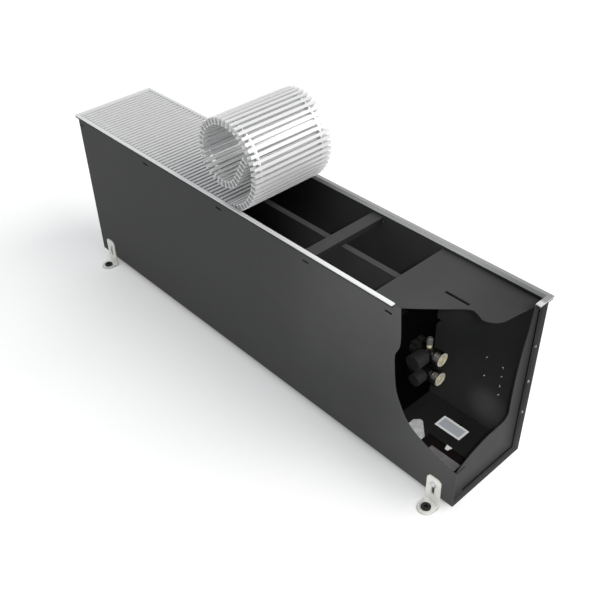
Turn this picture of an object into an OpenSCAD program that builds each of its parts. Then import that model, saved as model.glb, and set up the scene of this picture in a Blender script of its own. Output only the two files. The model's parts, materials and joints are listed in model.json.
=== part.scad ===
// Trench convector heater with a roll-up grille, shown as a cut-away sample.
// +X runs along the trench towards the valves, +Y across it, +Z up from the ground.

/* [Case] */
// Outer length of the sheet steel case
case_len = 1076; // [1000:4:1400]
// Outer width of the case
case_w = 186; // [180:2:220]
// Height of the case walls, from underside to top edge
case_h = 348; // [330:2:400]
// Thickness of the case sheet
sheet_t = 1.5; // [1:0.1:2]
// Width of the flange folded round each end
end_flange_w = 22; // [18:1:26]
// Gap between the ground and the underside of the case
foot_gap = 25; // [24:1:32]

/* [Cut-away window] */
// Cut the near corner open, as on a showroom sample
cut_window = true; // [true, false]

/* [Trim frame] */
// Thickness of the trim's top plate
trim_t = 2; // [1.5:0.1:3]
// How far the trim reaches past the outside of the case
trim_overhang = 5; // [4.5:0.5:10]
// Height of the trim's leg inside the case wall
trim_leg_h = 6; // [5:0.5:9]
// Thickness of the trim's inner leg
trim_leg_t = 1; // [1:0.1:2]
// Height of the rubber edge seal under the overhang
seal_h = 4; // [3:0.5:6]
// Width of the rubber edge seal
seal_w = 4; // [3:0.5:4]

/* [Roll-up grille] */
// Height of a grille bar
bar_h = 13; // [12:1:16]
// Width of a grille bar's flanges
bar_w = 6; // [5:0.2:6.4]
// Thickness of a grille bar's web
bar_web = 2.4; // [1.6:0.2:3]
// Thickness of a grille bar's flanges
bar_flange = 2.2; // [1.4:0.2:3]
// Distance from one grille bar to the next
bar_pitch = 10.5; // [10:0.5:14]
// Diameter of the spacer sleeves between bars
sleeve_d = 7; // [5:0.5:8]
// Distance of the sleeves from the bar ends
sleeve_inset = 17; // [10:1:40]
// Length of grille that is rolled up
rolled_len = 546; // [486:6:552]
// Radius of the roll at the middle of its first bar
roll_r = 94; // [92:1:100]
// How much the roll's radius shrinks in one turn
roll_drop = 44; // [40:1:45]
// Length of the roll's inner end that hangs straight
roll_end_len = 54; // [42:2:56]

/* [Crossbars] */
// Number of crossbars that carry the grille
crossbar_count = 3; // [2:1:4]
// Distance between crossbars
crossbar_pitch = 236; // [160:4:260]
// Distance from the cover plate to the nearest crossbar's middle
crossbar_gap = 150; // [100:1:200]
// Width of a crossbar
crossbar_w = 25; // [24:1:36]
// Height of a crossbar
crossbar_h = 12; // [10:1:18]

/* [Air guide] */
// Thickness of the air guide plate
guide_t = 1.2; // [1:0.1:2]
// Width of the air guide's folded top edge
guide_top_w = 12; // [6:0.5:14]
// Distance of the air guide's plate from the middle, towards the near wall
guide_in = 8; // [0:0.5:16]
// Height of the air guide's lower edge above the floor sheet
guide_clear = 74; // [60:2:110]

/* [Valve chamber] */
// Length of the valve chamber at the right end
chamber_len = 208; // [206:2:260]
// Width of the top fold on the partition plates
partition_fold = 9; // [6:0.5:12]
// Depth of the cover plate's folded left edge
cover_fold = 8; // [6:0.5:12]
// Length of the grip slot in the cover plate
grip_len = 48; // [36:2:60]
// Width of the grip slot
grip_w = 6; // [5:0.5:10]
// Width of the ledge under the cover plate
ledge_w = 14; // [10:1:18]
// Height of the ledge's wall leg
ledge_leg = 12; // [8:1:16]

/* [Heat exchanger] */
// Outer diameter of the copper tube
tube_d = 15; // [12:0.5:18]
// Wall of the copper tube
tube_wall = 1; // [0.7:0.1:1.5]
// Distance between the two tube rows and the two tube columns
tube_pitch = 46; // [42:1:46]
// Width of a fin across the trench
fin_w = 74; // [72:1:80]
// Height of a fin
fin_h = 84; // [76:1:90]
// Thickness of a fin
fin_t = 0.5; // [0.3:0.1:0.8]
// Distance from one fin to the next
fin_pitch = 8; // [6:0.5:12]
// Height of the lowest fin edge above the case's underside
exchanger_lift = 102; // [96:1:110]

/* [Valves] */
// Outer diameter of the valves' pipe ends
union_d = 26.4; // [24:0.2:28]
// Diameter of the valve bodies
valve_d = 25; // [22:0.5:28]
// Diameter of the flow valve's cap
flow_cap_d = 30; // [26:1:34]
// Length of the flow valve's cap
flow_cap_len = 28; // [24:1:32]
// Diameter of the return valve's cap
return_cap_d = 24; // [22:1:28]
// Length of the return valve's cap
return_cap_len = 23; // [20:1:28]
// Diameter of the air vent's knob
vent_d = 11; // [9:0.5:14]
// Height of the air vent's knob
vent_h = 14; // [10:1:18]

/* [Feet] */
// Distance from the case's left end to the middle of the left feet
foot_left_in = 40; // [20:1:80]
// Distance from the case's right end to the middle of the right feet
foot_right_in = 41; // [20:1:80]
// Width of a foot bracket
foot_w = 30; // [24:1:36]
// Thickness of a foot bracket
foot_t = 2.5; // [2:0.1:3]
// Height of a foot bracket
foot_h = 66; // [64:1:84]
// Distance of the foot's fixing hole from the case wall
foot_hole_out = 17; // [13:0.5:20]
// Bore of the foot's rubber grommet
grommet_bore = 8; // [6:0.5:9]
// Height adjustment that the foot's slot gives
foot_travel = 22; // [14:1:22]

/* [Floor details] */
// Length of the pipe slot in the case floor
pipe_slot_len = 128; // [110:2:140]
// Width of the pipe slot
pipe_slot_w = 65; // [40:1:68]
// Length of the blank rating plate
plate_len = 57; // [40:1:70]
// Width of the blank rating plate
plate_w = 30; // [20:1:36]
// Diameter of the wall knock-outs
knock_d = 40; // [28:1:42]

/* [Hidden] */

// Overrun of every cut, and the clearances between pieces
over = 1;
fit_gap = 0.1;
slide_gap = 0.2;
side_gap = 1;
fine = 48;

// Faces of the case
half_len = case_len / 2;
half_w = case_w / 2;
inner_x = half_len - sheet_t;
inner_y = half_w - sheet_t;
base_z = foot_gap;
floor_z = base_z + sheet_t;
wall_top = base_z + case_h;
top_z = wall_top + trim_t;

// Levels of what carries the grille
leg_y = inner_y - fit_gap - trim_leg_t;
leg_x = inner_x - sheet_t - fit_gap - trim_leg_t;
grille_z = top_z - bar_h;
rest_z = grille_z - slide_gap;
crossbar_z = rest_z - crossbar_h;
panel_x = inner_x - sheet_t;

// Valve chamber
chamber_x = half_len - chamber_len;
crossbar_x = chamber_x - crossbar_gap;

// Outlines of the cut-away: shares of the case length from its right end, of its height
// and of its width from the near side
front_cut_shares = [[0.1307, 1.08], [0.1307, 0.995], [0.1274, 0.8], [0.1361, 0.718], [0.1352, 0.64],
    [0.1329, 0.573], [0.1281, 0.494], [0.1155, 0.412], [0.1015, 0.351], [0.086, 0.315], [0.0694, 0.293],
    [0.0383, 0.255], [0.0114, 0.239], [-0.02, 0.245]];
end_cut_shares = [[-0.03, 0.235], [0, 0.243], [0.12, 0.278], [0.2414, 0.304], [0.4194, 0.326],
    [0.5317, 0.329], [0.64, 0.334], [0.686, 0.347], [0.713, 0.375], [0.711, 0.42], [0.712, 0.487],
    [0.716, 0.57], [0.725, 0.657], [0.748, 0.77], [0.778, 0.867], [0.801, 0.985], [0.806, 1.08]];
cover_cut_shares = [[0.1524, -0.02], [0.1414, 0.0672], [0.126, 0.1516], [0.0975, 0.311],
    [0.0705, 0.462], [0.056, 0.462], [0.0421, 0.431], [0.028, 0.467], [0.0192, 0.5425], [0.014, 0.72],
    [0.003, 0.911], [-0.02, 0.96]];
trim_near_cut_share = 0.1436;
trim_right_cut_share = 0.83;
cut_corner_share = 1.08;
cut_beyond_share = 0.03;
cut_steps = 5;

// One smooth step between the points b and c of a path
function smooth_point(a, b, c, d, t) =
    0.5 * (2 * b + (c - a) * t + (2 * a - 5 * b + 4 * c - d) * t * t
        + (3 * b - a - 3 * c + d) * t * t * t);
// A path of points rounded into a smooth line
function smooth_path(p, steps) = [
    for (i = [0 : len(p) - 2], k = [0 : steps - 1])
        smooth_point(p[max(i - 1, 0)], p[i], p[i + 1], p[min(i + 2, len(p) - 1)], k / steps),
    p[len(p) - 1]];

// Trim levels
trim_w = trim_overhang + half_w - leg_y;
trim_half_len = half_len + trim_overhang;
trim_half_w = half_w + trim_overhang;
trim_cut_x = half_len - trim_near_cut_share * case_len;
trim_cut_y = -half_w + trim_right_cut_share * case_w;

// Grille
bar_half = leg_y - side_gap;
grille_half_len = leg_x - side_gap;
bar_total = floor((2 * grille_half_len - bar_w) / bar_pitch) + 1;
roll_total = floor(rolled_len / bar_pitch);
flat_total = bar_total - roll_total;
bar_mid_z = grille_z + bar_h / 2;
first_bar_x = -grille_half_len + bar_w / 2;
last_flat_x = first_bar_x + (flat_total - 1) * bar_pitch;
// The roll starts to curve this far before the middle of the last flat bar
roll_lead = 2.6;
sleeve_gap = 0.05;
turn_to_rad = PI / 180;

// Angle in degrees that the roll has turned through after a length s of grille
function roll_angle(s) =
    (roll_r - sqrt(roll_r * roll_r - roll_drop * s / PI)) * 2 * PI / roll_drop / turn_to_rad;
// Radius of the roll's middle line at an angle
function roll_radius(a) = roll_r - roll_drop * a / 360;
// Middle of the spiral at an angle, in the XZ plane
function spiral_point(a) =
    [last_flat_x - roll_lead + roll_radius(a) * sin(a), bar_mid_z + roll_r - roll_radius(a) * cos(a)];
// Direction of the spiral at an angle, which leans inwards from a circle
function spiral_turn(a) = a + atan2(roll_drop, 2 * PI * roll_radius(a));

// Where the grille leaves the spiral, and its direction there
roll_curl_len = roll_total * bar_pitch + roll_lead - roll_end_len;
roll_end_angle = roll_angle(roll_curl_len);
roll_end_turn = spiral_turn(roll_end_angle);
// Middle and turn of the bar after a length s of grille
function roll_point(s) = s < roll_curl_len ? spiral_point(roll_angle(s))
    : spiral_point(roll_end_angle) + (s - roll_curl_len) * [cos(roll_end_turn), sin(roll_end_turn)];
function roll_turn(s) = s < roll_curl_len ? spiral_turn(roll_angle(s)) : roll_end_turn;

// Crossbar hooks and their slots in the walls
hook_w = 13;
slot_w = 15;
slot_h = 4;
hook_lift = 2;
hook_z = crossbar_z + hook_lift + sheet_t / 2;
hook_shift = 5;
hook_in = 10;
tab_hook_x = 43;
end_hook_in = 8;

// Air guide and partitions
guide_z = crossbar_z - guide_t;
partition_overlap = 8;
grip_in = 78;
grip_y = 1.5;
partition_split = base_z + exchanger_lift + fin_h;
partition_back = chamber_x + sheet_t;
partition_front = partition_back + sheet_t;
plate_side_gap = 0.3;
cover_top = rest_z;
cover_z = cover_top - sheet_t;

// Heat exchanger
exchanger_z = base_z + exchanger_lift;
return_z = exchanger_z + (fin_h - tube_pitch) / 2;
flow_z = return_z + tube_pitch;
fin_side_gap = 4;
fin_y = inner_y - fin_side_gap - fin_w;
valve_y = fin_y + (fin_w - tube_pitch) / 2;
back_y = valve_y + tube_pitch;
bend_r = tube_pitch / 2;
bend_end_gap = 3;
bend_plate_gap = 4;
fin_plate_gap = 5;
left_plate_in = 56;
plate_t = 1.5;
left_plate_x = -half_len + left_plate_in;
bend_left_x = left_plate_x - bend_plate_gap;
bend_right_x = chamber_x - bend_end_gap - bend_r - tube_d / 2;
right_plate_x = bend_right_x - bend_plate_gap;
fin_first_x = left_plate_x + plate_t + fin_plate_gap;
fin_total = floor((right_plate_x - fin_plate_gap - fin_first_x) / fin_pitch) + 1;
bracket_flange = 16;
screw_head_d = 7;
screw_head_h = 2;
screw_d = 4;

// Valves, along X from the partition
nut_af = 24;
nut_out = 7;
nut_x = partition_front + nut_out;
nut_len = 13;
body_x = nut_x + nut_len;
neck_len = 4;
neck_d = 22;
belly_len = 24;
belly_x = body_x + neck_len;
bonnet_x = belly_x + belly_len / 2;
out_neck_len = 4;
out_neck_d = 20;
union_x = belly_x + belly_len + out_neck_len;
union_len = 15;
flow_bore = 12;
plug_d = 19;
plug_depth = 7;
plug_boss_d = 8;
plug_boss_h = 1;
plug_sink = 0.6;
flow_boss_d = 22;
flow_boss_len = 24;
flow_cap_at = 16;
flow_cap_hollow = 11;
pin_d = 4;
pin_at = 6;
pin_len = 20;
return_boss_d = 18;
return_boss_len = 20;
return_cap_at = 13;
return_cap_hollow = 15;
spindle_d = 8;
spindle_at = 6;
spindle_len = 18;
cap_gap = 0.3;
cap_grooves = 20;
vent_grooves = 10;
groove_d = 1.6;
vent_boss_d = 10;
vent_boss_h = 6;
vent_stem_d = 3;
vent_stem_len = 4;
vent_gap = 0.3;
vent_cone = 3;
vent_z = flow_z + valve_d / 2;

// Feet
foot_left_x = -half_len + foot_left_in;
foot_right_x = half_len - foot_right_in;
foot_face = half_w + slide_gap;
foot_slot_w = 7;
foot_screw_up = 24;
foot_screw_z = base_z + foot_screw_up;
foot_screw_d = 6;
foot_head_d = 12;
foot_head_h = 3;
foot_head_gap = 0.2;
foot_nut_af = 10;
foot_nut_h = 5;
foot_corner_r = 9;
grommet_neck_d = 12;
grommet_d = 18;
grommet_h = 2;

// Floor details
pipe_slot_in = 6;
pipe_slot_far = 7;
pipe_slot_x = half_len - pipe_slot_in - pipe_slot_len;
pipe_slot_y = pipe_slot_far - pipe_slot_w;
plate_in = -8;
plate_gap = 24;
plate_x = pipe_slot_x + plate_in;
plate_y = pipe_slot_far + plate_gap;
rating_t = 0.6;
floor_plate_len = 42;
floor_plate_w = 80;
floor_plate_y = -60;
floor_plate_t = 2;
floor_plate_corner = 9;
floor_plate_chamfer = 27;
slot_cover_in = 23;
slot_cover_len = 65;
slot_cover_w = 60;
slot_cover_far = -14;
slot_cover_t = 1.5;
clip_len = 12;
clip_w = 10;
clip_t = 1.5;
clip_in = 47;
knock_in = 75;
knock_x = half_len - knock_in;
knock_low = 107;
knock_rise = 44;
knock_angles = [30, -30, 142];
knock_slot_len = 5;
knock_slot_w = 1.6;
knock_depth = 0.8;

// End flange screws, as heights above the underside
end_screw_z = [106, 178, 256];
end_screw_in = 14.5;
end_screw_len = 5;

// Points of the cuts' outlines, from their shares
function front_point(q) = [half_len - q[0] * case_len, base_z + q[1] * case_h];
function end_point(q) = [-half_w + q[0] * case_w, base_z + q[1] * case_h];
function cover_point(q) = [half_len - q[0] * case_len, -half_w + q[1] * case_w];
cut_far_x = half_len + cut_beyond_share * case_len;
cut_near_y = -half_w - cut_beyond_share * case_w;
cut_high_z = base_z + cut_corner_share * case_h;

// The cut through the near wall: an outline in the XZ plane, cut along Y to a depth behind the wall
module cut_front(depth) {
    p = [for (q = smooth_path(front_cut_shares, cut_steps)) front_point(q)];
    last = p[len(p) - 1];
    translate([0, -half_w + depth, 0])
        rotate([90, 0, 0])
            linear_extrude(depth + trim_overhang + over)
                polygon(concat(p, [[cut_far_x, last[1]], [cut_far_x, cut_high_z]]));
}

// The cut through the right end panel: an outline in the YZ plane, cut along X
module cut_end(depth) {
    p = [for (q = smooth_path(end_cut_shares, cut_steps)) end_point(q)];
    translate([half_len - depth, 0, 0])
        rotate([90, 0, 90])
            linear_extrude(depth + trim_overhang + over)
                polygon(concat([[cut_near_y, cut_high_z], [cut_near_y, p[0][1]]], p));
}

// The cut through the cover plate: an outline in the XY plane, cut along Z
module cut_cover() {
    p = [for (q = smooth_path(cover_cut_shares, cut_steps)) cover_point(q)];
    translate([0, 0, cover_z - cover_fold - over])
        linear_extrude(cover_fold + sheet_t + over * 2)
            polygon(concat(p, [[cut_far_x, half_w], [cut_far_x, cut_near_y], [p[0][0], cut_near_y]]));
}

// A box given by its low corner and its high corner
module block(low, high) {
    translate(low) cube(high - low);
}

// A bore that clears a round piece of diameter d
function bore(d) = d + fit_gap * 2;

// A cylinder along +Z
module disc(d, h) {
    cylinder(d = d, h = h, $fn = fine);
}

// A cylinder along +X
module rod_x(x, y, z, d, h) {
    translate([x, y, z]) rotate([0, 90, 0]) cylinder(d = d, h = h, $fn = fine);
}

// A cylinder along -Y
module rod_y(x, y, z, d, h) {
    translate([x, y, z]) rotate([90, 0, 0]) cylinder(d = d, h = h, $fn = fine);
}

// The places along X of the crossbars' middles
crossbar_places = [for (i = [0 : crossbar_count - 1]) crossbar_x - i * crossbar_pitch];
// The places along X of the hooks that show in the walls
hook_places = concat([for (x = crossbar_places) x + hook_shift], [chamber_x + tab_hook_x]);

// Case

// The folded trough: floor, two long walls and the flanges round both ends
module trough() {
    color([0.25, 0.25, 0.26]) difference() {
        block([-half_len, -half_w, base_z], [half_len, half_w, wall_top]);
        block([-inner_x, -inner_y, floor_z], [inner_x, inner_y, wall_top + over]);
        block([-half_len - over, -half_w + end_flange_w, base_z + end_flange_w],
            [half_len + over, half_w - end_flange_w, wall_top + over]);
        block([pipe_slot_x, pipe_slot_y, base_z - over],
            [pipe_slot_x + pipe_slot_len, pipe_slot_y + pipe_slot_w, floor_z + over]);
        for (side = [-1, 1]) {
            for (x = concat(hook_places, [-inner_x + end_hook_in]))
                translate([x - slot_w / 2, side * half_w - sheet_t - over, hook_z - slot_h / 2])
                    cube([slot_w, (sheet_t + over) * 2, slot_h]);
            for (x = [foot_left_x, foot_right_x])
                rod_y(x, side * half_w + sheet_t + over, foot_screw_z, bore(foot_screw_d),
                    (sheet_t + over) * 2);
            for (end = [-1, 1], z = end_screw_z)
                rod_x(end * half_len - sheet_t - over, side * (half_w - end_screw_in), base_z + z,
                    bore(screw_d), (sheet_t + over) * 2);
        }
        for (i = [0, 1], a = knock_angles)
            translate([knock_x, inner_y - over, base_z + knock_low + i * knock_rise])
                rotate([0, -a, 0])
                    translate([knock_d / 2, 0, -knock_slot_len / 2])
                        cube([knock_slot_w, over + knock_depth, knock_slot_len]);
        if (cut_window) {
            cut_front(end_flange_w + over);
            cut_end(sheet_t + over);
        }
    }
}

// An end panel behind the trough's flanges, at the left or right end
module end_panel(end) {
    difference() {
        translate([end > 0 ? panel_x : -inner_x, -inner_y + fit_gap, floor_z])
            cube([sheet_t, (inner_y - fit_gap) * 2, wall_top - floor_z]);
        for (side = [-1, 1], z = end_screw_z)
            rod_x(end * inner_x - sheet_t - over, side * (half_w - end_screw_in), base_z + z,
                bore(screw_d), (sheet_t + over) * 2);
    }
}

module end_panel_left() {
    color([0.27, 0.27, 0.28]) end_panel(-1);
}

module end_panel_right() {
    color([0.27, 0.27, 0.28]) difference() {
        end_panel(1);
        if (cut_window) cut_end(end_flange_w);
    }
}

// A small pan head screw along X through the end flange
module end_screw(end, side, z) {
    turn = end > 0 ? 90 : -90;
    translate([end * half_len, side * (half_w - end_screw_in), base_z + z]) rotate([0, turn, 0]) {
        cylinder(d1 = screw_head_d, d2 = screw_head_d - screw_head_h, h = screw_head_h, $fn = fine);
        translate([0, 0, -end_screw_len]) cylinder(d = screw_d, h = end_screw_len, $fn = fine);
    }
}

module end_screws_left() {
    color([0.7, 0.7, 0.72]) for (side = [-1, 1], z = end_screw_z) end_screw(-1, side, z);
}

module end_screws_right() {
    color([0.7, 0.7, 0.72]) {
        for (z = end_screw_z) end_screw(1, 1, z);
        if (!cut_window) for (z = end_screw_z) end_screw(1, -1, z);
    }
}

// Trim frame

// A long trim with mitred ends, drawn for the near side
module trim_length() {
    half = trim_half_len;
    out = trim_half_w;
    leg_half = leg_x + fit_gap;
    translate([0, 0, wall_top]) linear_extrude(trim_t)
        polygon([[-half, -out], [half, -out],
            [half - trim_w, -out + trim_w], [-half + trim_w, -out + trim_w]]);
    block([-leg_half, -leg_y - trim_leg_t, wall_top - trim_leg_h], [leg_half, -leg_y, wall_top]);
}

module trim_near() {
    color([0.8, 0.8, 0.8]) difference() {
        trim_length();
        if (cut_window)
            block([trim_cut_x, -trim_half_w - over, wall_top - trim_leg_h - over],
                [trim_half_len + over, 0, top_z + over]);
    }
}

module trim_far() {
    color([0.8, 0.8, 0.8]) mirror([0, 1, 0]) trim_length();
}

// An end trim, drawn at the left end
module trim_end() {
    reach = trim_half_len - leg_x;
    mitre = [[-trim_half_len, -trim_half_w], [-trim_half_len, trim_half_w],
        [-trim_half_len + trim_w, trim_half_w - trim_w], [-leg_x, trim_half_w - trim_w],
        [-leg_x, -trim_half_w + trim_w], [-trim_half_len + trim_w, -trim_half_w + trim_w]];
    translate([0, 0, wall_top]) linear_extrude(trim_t) polygon(mitre);
    block([-trim_half_len + reach - trim_leg_t, -leg_y + fit_gap, wall_top - trim_leg_h],
        [-leg_x, leg_y - fit_gap, wall_top]);
}

module trim_left() {
    color([0.8, 0.8, 0.8]) trim_end();
}

module trim_right() {
    color([0.8, 0.8, 0.8]) difference() {
        mirror([1, 0, 0]) trim_end();
        if (cut_window)
            block([leg_x - trim_leg_t - over, -trim_half_w - over, wall_top - trim_leg_h - over],
                [trim_half_len + over, trim_cut_y, top_z + over]);
    }
}

// Rubber strips under the trim's overhang, round the outside of the case
module edge_seals() {
    color([0.05, 0.05, 0.05]) difference() {
        block([-half_len - seal_w, -half_w - seal_w, wall_top - seal_h],
            [half_len + seal_w, half_w + seal_w, wall_top]);
        block([-half_len, -half_w, wall_top - seal_h - over], [half_len, half_w, wall_top + over]);
        if (cut_window) {
            block([trim_cut_x, -half_w - seal_w - over, wall_top - seal_h - over],
                [half_len + seal_w + over, 0, wall_top + over]);
            block([half_len - over, -half_w, wall_top - seal_h - over],
                [half_len + seal_w + over, trim_cut_y, wall_top + over]);
        }
    }
}

// Roll-up grille

// The section of a bar, centred on its sleeve line
module bar_section() {
    h = bar_h / 2;
    f = h - bar_flange;
    w = bar_w / 2;
    b = bar_web / 2;
    polygon([[-w, -h], [w, -h], [w, -f], [b, -f], [b, f], [w, f],
        [w, h], [-w, h], [-w, f], [-b, f], [-b, -f], [-w, -f]]);
}

// A bar at a point of the XZ plane, turned by an angle
module bar(p, a) {
    translate([p[0], bar_half, p[1]])
        rotate([90, 0, 0])
            linear_extrude(bar_half * 2)
                rotate(a) bar_section();
}

// A sleeve between two neighbouring bars that are turned by the angles at_p and at_q, on both
// sides of the grille. Its ends stand back enough to clear the webs that lean towards it.
module sleeves_between(p, q, at_p, at_q) {
    a = atan2(q[1] - p[1], q[0] - p[0]);
    from_p = sleeve_start(a - at_p);
    from_q = sleeve_start(a - at_q);
    for (side = [-1, 1])
        translate([p[0], side * (bar_half - sleeve_inset), p[1]])
            rotate([0, 90 - a, 0])
                translate([0, 0, from_p])
                    cylinder(d = sleeve_d, h = norm(q - p) - from_p - from_q, $fn = 24);
}

// How far from a bar's middle a sleeve starts that leans by an angle against the bar
function sleeve_start(lean) =
    sleeve_gap + bar_web / 2 / cos(lean) + sleeve_d / 2 * abs(tan(lean));

flat_points = [for (i = [0 : flat_total - 1]) [first_bar_x + i * bar_pitch, bar_mid_z]];
roll_points = [for (i = [1 : roll_total]) roll_point(i * bar_pitch + roll_lead)];
roll_turns = [for (i = [1 : roll_total]) roll_turn(i * bar_pitch + roll_lead)];

module grille_flat_bars() {
    color([0.82, 0.82, 0.83]) for (p = flat_points) bar(p, 0);
}

module grille_roll_bars() {
    color([0.82, 0.82, 0.83]) for (i = [0 : roll_total - 1])
        bar(roll_points[i], roll_turns[i]);
}

module grille_flat_sleeves() {
    color([0.88, 0.88, 0.88]) for (i = [0 : flat_total - 2])
        sleeves_between(flat_points[i], flat_points[i + 1], 0, 0);
}

module grille_roll_sleeves() {
    points = concat([flat_points[flat_total - 1]], roll_points);
    turns = concat([0], roll_turns);
    color([0.88, 0.88, 0.88]) for (i = [0 : roll_total - 1])
        sleeves_between(points[i], points[i + 1], turns[i], turns[i + 1]);
}

// What carries the grille

// Folded channel bars across the case, hooked into slots in both walls
module crossbars() {
    half = inner_y - plate_side_gap;
    color([0.31, 0.31, 0.32]) for (x = crossbar_places) {
        difference() {
            block([x - crossbar_w / 2, -half, crossbar_z], [x + crossbar_w / 2, half, rest_z]);
            block([x - crossbar_w / 2 + sheet_t, -half - over, crossbar_z - over],
                [x + crossbar_w / 2 - sheet_t, half + over, rest_z - sheet_t]);
        }
        for (side = [-1, 1]) hook(x + hook_shift, side, half);
    }
}

// A flat tongue through a slot of the near or far wall, from a piece that ends at half
module hook(x, side, half) {
    translate([x, side * (half_w + half - hook_in) / 2, hook_z])
        cube([hook_w, half_w - half + hook_in, sheet_t], center = true);
}

// Angle ledge on the left end panel that carries the grille's first bars
module end_ledge_left() {
    half = inner_y - plate_side_gap;
    x = -inner_x + sheet_t;
    color([0.3, 0.3, 0.31]) {
        block([x, -half, rest_z - sheet_t], [x + ledge_w, half, rest_z]);
        block([x, -half, rest_z - ledge_leg], [x + sheet_t, half, rest_z]);
        for (side = [-1, 1]) hook(x + end_hook_in - sheet_t, side, half);
    }
}

// Plate along the middle that parts the falling cold air from the rising warm air
module air_guide() {
    x0 = -inner_x + sheet_t + fit_gap;
    x1 = chamber_x - fit_gap;
    top = guide_z + guide_t;
    color([0.3, 0.3, 0.31]) {
        block([x0, -guide_in - guide_t, floor_z + guide_clear], [x1, -guide_in, top]);
        block([x0, -guide_in - (guide_top_w + guide_t) / 2, guide_z],
            [x1, -guide_in + (guide_top_w - guide_t) / 2, top]);
    }
}

// Valve chamber

// The removable plate over the valves, with its grip slot
module cover_plate() {
    half = leg_y - side_gap;
    lip_x = chamber_x + sheet_t - slide_gap;
    grip_x = chamber_x + grip_in;
    color([0.33, 0.33, 0.34]) difference() {
        union() {
            block([chamber_x, -half, cover_z], [leg_x - side_gap, half, cover_top]);
            block([chamber_x, -half, cover_z - cover_fold], [lip_x, half, cover_top]);
        }
        block([grip_x, grip_y - grip_w / 2, cover_z - over],
            [grip_x + grip_len, grip_y + grip_w / 2, cover_top + over]);
        if (cut_window) cut_cover();
    }
}

// The angle along the near or far wall that carries the cover plate
module cover_ledge(side) {
    z = cover_z - slide_gap;
    x0 = partition_front + partition_fold + side_gap;
    x1 = panel_x - fit_gap;
    wall = inner_y - fit_gap;
    mirror([0, side < 0 ? 1 : 0, 0]) {
        block([x0, wall - ledge_w, z - sheet_t], [x1, wall, z]);
        block([x0, wall - sheet_t, z - ledge_leg], [x1, wall, z]);
        hook(chamber_x + tab_hook_x, 1, wall - sheet_t + hook_in);
    }
}

module cover_ledge_near() {
    color([0.3, 0.3, 0.31]) difference() {
        cover_ledge(-1);
        if (cut_window) cut_front(sheet_t + ledge_w + over);
    }
}

module cover_ledge_far() {
    color([0.3, 0.3, 0.31]) cover_ledge(1);
}

// The lower plate between exchanger and valves, with its folded top edge and tube holes
module partition_lower() {
    half = inner_y - plate_side_gap;
    top = partition_split;
    fold_x = partition_front + partition_fold;
    color([0.24, 0.24, 0.25]) difference() {
        union() {
            block([partition_back, -half, floor_z], [partition_front, half, top]);
            block([partition_back, -half, top - sheet_t], [fold_x, half, top]);
        }
        for (z = [return_z, flow_z])
            rod_x(partition_back - over, valve_y, z, tube_d + side_gap * 2, sheet_t + over * 2);
    }
}

// The upper plate, lapped behind the lower one, with a fold that carries the cover plate
module partition_upper() {
    half = inner_y - plate_side_gap;
    low = partition_split - partition_overlap;
    z = cover_z - slide_gap;
    color([0.2, 0.2, 0.21]) {
        block([partition_back - sheet_t + fit_gap, -half, low], [partition_back, half, z - cover_fold]);
        block([partition_back, -half, partition_split], [partition_front, half, z]);
        block([partition_back, -half, z - sheet_t], [partition_front + partition_fold, half, z]);
    }
}

// Heat exchanger

// One copper tube: four straight runs, two bends on the left and one on the right
module copper_circuit() {
    color([0.72, 0.45, 0.3]) difference() {
        copper_path(tube_d);
        copper_path(tube_d - tube_wall * 2);
    }
}

module copper_path(d) {
    extra = d < tube_d ? over : 0;
    for (z = [return_z, flow_z]) {
        rod_x(bend_left_x, valve_y, z, d, body_x - bend_left_x + extra);
        rod_x(bend_left_x, back_y, z, d, bend_right_x - bend_left_x);
        translate([bend_left_x, (valve_y + back_y) / 2, z]) rotate([0, 0, 90])
            rotate_extrude(angle = 180, $fn = fine) translate([bend_r, 0]) circle(d = d, $fn = fine);
    }
    translate([bend_right_x, back_y, (return_z + flow_z) / 2]) rotate([90, 0, 0]) rotate([0, 0, -90])
        rotate_extrude(angle = 180, $fn = fine) translate([bend_r, 0]) circle(d = d, $fn = fine);
}

// A plate of some width across the trench with the four tube holes, drawn in the YZ plane
module tube_plate(width) {
    difference() {
        translate([fin_y, exchanger_z]) square([width, fin_h]);
        for (y = [valve_y, back_y], z = [return_z, flow_z])
            translate([y, z]) circle(d = bore(tube_d), $fn = fine);
    }
}

module fin_pack() {
    color([0.8, 0.82, 0.84]) for (i = [0 : fin_total - 1])
        translate([fin_first_x + i * fin_pitch, 0, 0]) rotate([90, 0, 90])
            linear_extrude(fin_t) tube_plate(fin_w);
}

bracket_y = inner_y - fit_gap;
bracket_screw_z = exchanger_z + fin_h / 2;
// The middle along X of a bracket's flange, which points along dir
function bracket_x(x, dir) = x + plate_t / 2 + dir * bracket_flange / 2;

// A sheet bracket that holds the tubes on the far wall
module exchanger_plate(x, dir) {
    translate([x, 0, 0]) rotate([90, 0, 90])
        linear_extrude(plate_t) tube_plate(bracket_y - fin_y);
    difference() {
        translate([dir > 0 ? x : x + plate_t - bracket_flange, bracket_y - plate_t, exchanger_z])
            cube([bracket_flange, plate_t, fin_h]);
        rod_y(bracket_x(x, dir), inner_y + over, bracket_screw_z, bore(screw_d), plate_t + over * 2);
    }
}

module exchanger_plate_left() {
    color([0.7, 0.71, 0.72]) exchanger_plate(left_plate_x, -1);
}

module exchanger_plate_right() {
    color([0.7, 0.71, 0.72]) exchanger_plate(right_plate_x, 1);
}

// The screws that hold the two exchanger brackets to the far wall
module bracket_screws() {
    color([0.7, 0.7, 0.72]) for (x = [bracket_x(left_plate_x, -1), bracket_x(right_plate_x, 1)]) {
        rod_y(x, bracket_y - plate_t, bracket_screw_z, screw_head_d, screw_head_h);
        rod_y(x, bracket_y, bracket_screw_z, screw_d, plate_t);
    }
}

// Valves

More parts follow.
